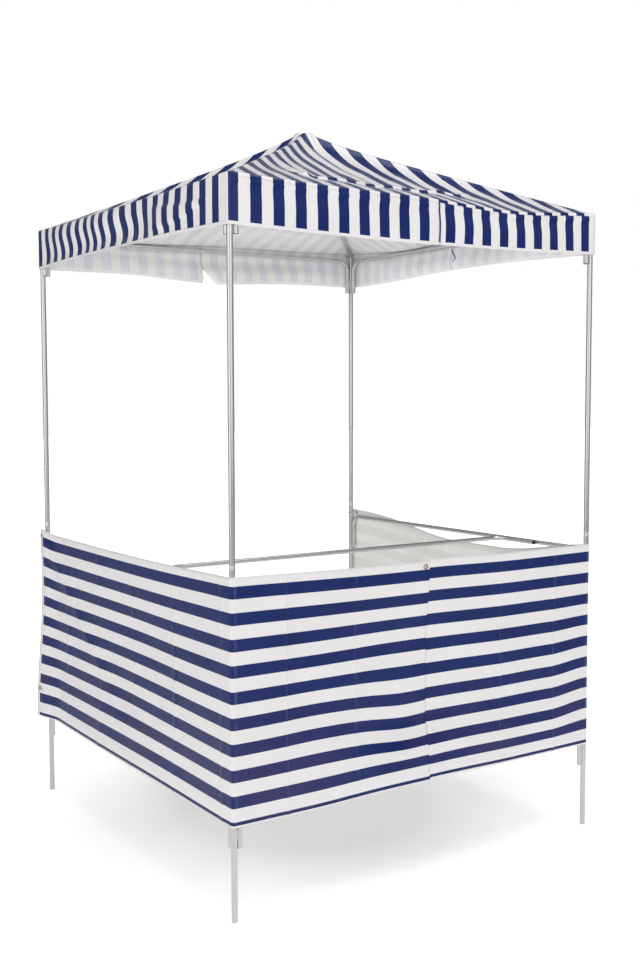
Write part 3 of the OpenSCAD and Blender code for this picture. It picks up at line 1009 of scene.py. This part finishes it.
FLOOR_HALF = 40.0
FLOOR_UNDER = 0.0005
FLOOR_PALE = (0.86, 0.86, 0.86)
FLOOR_MIRRORED = (0.72, 0.72, 0.72)
FLOOR_GLOW = (0.15, 1.0)
GLOW_REACH = (0.45, 1.65)
FLOOR_BOUNCE = 0.62
FLOOR_SHINE = 0.23
SHINE_REACH = (1.5, 2.8)
STUDIO_FRONT = (-0.5, -0.866, 0.0)
STUDIO_TONE = (1.0, 0.995, 0.985)
STUDIO_LIGHT = 0.42
PURE_WHITE = (1.0, 1.0, 1.0)

# The studio as it shows in steel and on the sheets: brighter in front, dimmer low down and overhead
MIRROR_TONE = (0.8, 0.8, 0.8)
MIRROR_FACING = (-0.8, 0.8)
MIRROR_LIGHT = (0.42, 0.60)
MIRROR_LOW = (0.05, 0.40)
MIRROR_LOW_SHARE = (0.62, 1.0)
MIRROR_HIGH = (0.40, 0.75)
MIRROR_HIGH_STEP = (0.0, -0.24)

# Lamps: place, target, size and power
LAMPS = {
    "overhead": ((0.3, -1.5, 5.4), (0, 0, 0.8), (4.0, 3.4), 90),
    "front_softbox": ((-1.0, -6.2, 3.3), (0, -0.5, 1.2), (7.0, 5.0), 84),
    "left_softbox": ((-6.0, -0.8, 2.8), (-0.5, 0, 1.2), (6.0, 5.0), 86),
}


def make_floor():
    """A pale floor that keeps the lamps' shadow, with painted light on top: to the camera it glows weakly
    near the stall and white further out, which paints shade round the stall; it glows onto the stall as
    painted bounce light; and in reflections it is painted darker, with a painted bright patch near the stall.
    """
    n = Finish("floor")
    n.set(Roughness=0.9, Specular_IOR_Level=0.1, Emission_Color=(*PURE_WHITE, 1.0))
    rays = n.new("ShaderNodeLightPath").outputs
    away = n.new("ShaderNodeVectorMath", operation="LENGTH")
    n.join(n.place(), away.inputs[0])
    away = away.outputs["Value"]
    # Painted shade: the glow the camera sees is weakest near the stall
    shown = n.math("MULTIPLY", rays["Is Camera Ray"], n.remap(away, *GLOW_REACH, *FLOOR_GLOW))
    # Painted bounce light from the floor onto the stall
    bounce = n.math("MULTIPLY", rays["Is Diffuse Ray"], FLOOR_BOUNCE)
    # Painted reflection: a brighter floor near the stall
    shine = n.math("MULTIPLY", rays["Is Glossy Ray"], n.remap(away, *SHINE_REACH, FLOOR_SHINE, 0.0))
    # Painted reflection: the floor's colour is darker in reflections
    n.set(Base_Color=n.mix(rays["Is Glossy Ray"], FLOOR_PALE, FLOOR_MIRRORED))
    n.set(Emission_Strength=n.math("ADD", n.math("ADD", shown, bounce), shine))
    corners = [(x * FLOOR_HALF, y * FLOOR_HALF, 0) for x, y in ((-1, -1), (1, -1), (1, 1), (-1, 1))]
    floor = add_mesh("floor", corners, [(0, 1, 2, 3)], [n.material], smooth=False)
    floor.location.z = -FLOOR_UNDER


def make_world():
    """White to the camera, an even light on surfaces, and a graded studio in reflections."""
    world = bpy.data.worlds.new("studio")
    scene.world = world
    world.use_nodes = True
    n = Nodes(world.node_tree)
    rays = n.new("ShaderNodeLightPath").outputs
    direction = n.new("ShaderNodeTexCoord").outputs["Generated"]
    parts = n.new("ShaderNodeSeparateXYZ")
    n.join(direction, parts.inputs[0])
    facing = n.new("ShaderNodeVectorMath", operation="DOT_PRODUCT")
    n.join(direction, facing.inputs[0])
    facing.inputs[1].default_value = STUDIO_FRONT
    around = n.remap(facing.outputs["Value"], *MIRROR_FACING, *MIRROR_LIGHT)
    low = n.remap(parts.outputs["Z"], *MIRROR_LOW, *MIRROR_LOW_SHARE)
    high = n.remap(parts.outputs["Z"], *MIRROR_HIGH, *MIRROR_HIGH_STEP)
    mirrored = n.background(MIRROR_TONE, n.math("ADD", n.math("MULTIPLY", around, low), high))
    light = n.background(STUDIO_TONE, STUDIO_LIGHT)
    shown = n.background(PURE_WHITE, 1.0)
    lit = n.mix_shader(rays["Is Glossy Ray"], light, mirrored)
    out = n.new("ShaderNodeOutputWorld")
    n.join(n.mix_shader(rays["Is Camera Ray"], lit, shown), out.inputs["Surface"])


def make_lamps():
    for name, (at, target, size, power) in LAMPS.items():
        data = bpy.data.lights.new(name, "AREA")
        data.shape = "RECTANGLE"
        data.size, data.size_y = size
        data.energy = power
        obj = bpy.data.objects.new(name, data)
        direction = Vector(target) - Vector(at)
        obj.matrix_world = Matrix.Translation(at) @ direction.to_track_quat("-Z", "Y").to_matrix().to_4x4()
        scene.collection.objects.link(obj)


def make_sheets():
    canopy_out = sheet_material("canopy_outside", canopy_blue, WHITE, NAVY, 0.17, 0.96)
    canopy_in = sheet_material("canopy_inside", canopy_blue, INSIDE_WHITE, SHOW_THROUGH_BLUE, 0.5, 0.95,
                               lit_through_share=LIT_THROUGH)
    skirt_out = sheet_material("skirt_outside", skirt_blue, WHITE, NAVY, 0.22, 0.97, sheen_blue=PAINTED_SHEEN_BLUE)
    skirt_in = sheet_material("skirt_inside", skirt_blue, SKIRT_INSIDE, SKIRT_SHOW_THROUGH_BLUE, 0.5, 0.97)

    canopy = make_canopy([canopy_out, canopy_in])
    fold = make_slit_fold(canopy_out)
    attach(canopy, "root")
    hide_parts(*["canopy_" + s for s in SIDES])

    for sign, nodes in ((-1, ("skirt_left", "skirt_front")), (1, ("skirt_right", "skirt_front"))):
        sheet, length = make_skirt(sign, [skirt_out, skirt_in])
        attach(sheet, "root")
        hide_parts(*nodes)


def main():
    make_camera()
    make_floor()
    make_world()
    make_lamps()
    steel = galvanised()
    black = black_plastic()
    for name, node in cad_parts.items():
        node.data.materials.clear()
        node.data.materials.append(black if name == "cross_rail_plugs" else steel)
    make_sheets()
    make_small_pieces(steel, black, eyelet_metal())


main()
